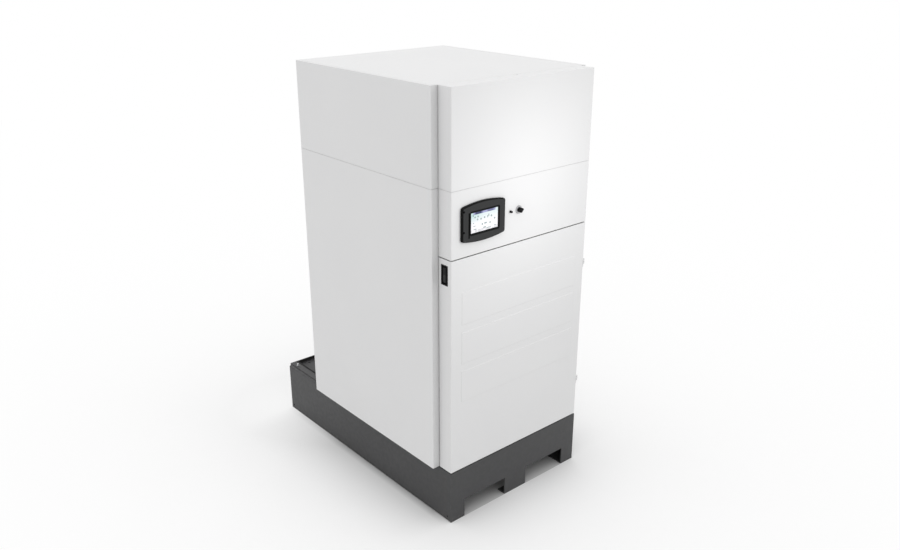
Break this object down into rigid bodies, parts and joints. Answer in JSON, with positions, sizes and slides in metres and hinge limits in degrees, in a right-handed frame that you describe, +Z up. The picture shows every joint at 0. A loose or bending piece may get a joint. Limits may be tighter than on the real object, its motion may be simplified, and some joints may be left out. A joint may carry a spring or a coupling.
{
  "type": "industrial boiler",
  "caption": "Vertical packaged boiler: white sheet cabinet with hood, display and selector section and hinged front door, on a dark steel skid with fork pockets.",
  "frame": {"origin": "on the floor at the middle of the whole footprint, from the selector knob's tip to the skid's rear", "axes": "+Z up, -Y towards the door and display, +X to the right of someone facing the door"},
  "size_m": [0.901, 1.432, 2],
  "materials": {
    "white_paint": "satin powder coat",
    "skid_paint": "satin dark grey coat",
    "deck_paint": "satin dark grey coat",
    "frame_steel": "satin grey primer",
    "zinc_steel": "zinc plated",
    "black_rubber": "matte",
    "bezel_plastic": "fine texture",
    "screen_glass": "gloss",
    "black_plastic": "matte",
    "ring_metal": "polished",
    "jacket_sheet": "embossed lagging sheet",
    "vessel_steel": "heat-proof black coat",
    "stainless": "brushed",
    "pipe_steel": "black mill finish",
    "trap_plastic": "matte"
  },
  "bodies": {
    "cabinet": {"base_left_rail": "skid_paint", "base_right_rail": "skid_paint", "base_front_plate": "skid_paint", "base_rear_plate": "skid_paint", "base_cross_members": "skid_paint", "base_deck": "deck_paint", "front_posts": "frame_steel", "rear_posts": "frame_steel", "top_side_rails": "frame_steel", "top_cross_rails": "frame_steel", "door_header_rail": "frame_steel", "left_panel_lower": "white_paint", "left_panel_upper": "white_paint", "right_panel_lower": "white_paint", "right_panel_upper": "white_paint", "rear_panel_lower": "white_paint", "rear_panel_upper": "white_paint", "top_cover": "white_paint", "front_hood": "white_paint", "control_panel": "white_paint", "pan_gaskets": "black_rubber", "lower_hinge_bracket": "white_paint", "upper_hinge_bracket": "white_paint", "display_bezel": "bezel_plastic", "display_screen": "screen_glass", "burner_switch": "black_plastic", "selector_ring": "ring_metal", "controls_box": "zinc_steel", "flue_collector": "stainless", "vessel_bottom_head": "vessel_steel", "vessel_shell": "jacket_sheet", "vessel_top_head": "vessel_steel", "flue_outlet": "stainless", "return_nozzle": "pipe_steel", "supply_nozzle": "pipe_steel", "air_inlet_collar": "zinc_steel", "gas_inlet_stub": "pipe_steel", "condensate_trap": "trap_plastic", "condensate_drain": "trap_plastic"},
    "door": {"front_door": "white_paint", "latch_cup": "black_plastic", "lower_hinge_leaf": "white_paint", "upper_hinge_leaf": "white_paint"},
    "latch": {"latch_paddle": "black_plastic"},
    "selector": {"selector_knob": "black_plastic"}
  },
  "joints": [
    {"name": "door_swing", "type": "hinge", "parent": "cabinet", "child": "door", "pos_m": [0.421, -0.686, 0.78], "axis": [0, 0, 1], "range_deg": [0, 110]},
    {"name": "latch_pull", "type": "hinge", "parent": "door", "child": "latch", "pos_m": [-0.412, -0.65, 1.252], "axis": [0, 1, 0], "range_deg": [0, 40]},
    {"name": "selector_turn", "type": "hinge", "parent": "cabinet", "child": "selector", "pos_m": [-0.0325, -0.692, 1.4405], "axis": [0, 1, 0], "range_deg": [-90, 0]}
  ]
}
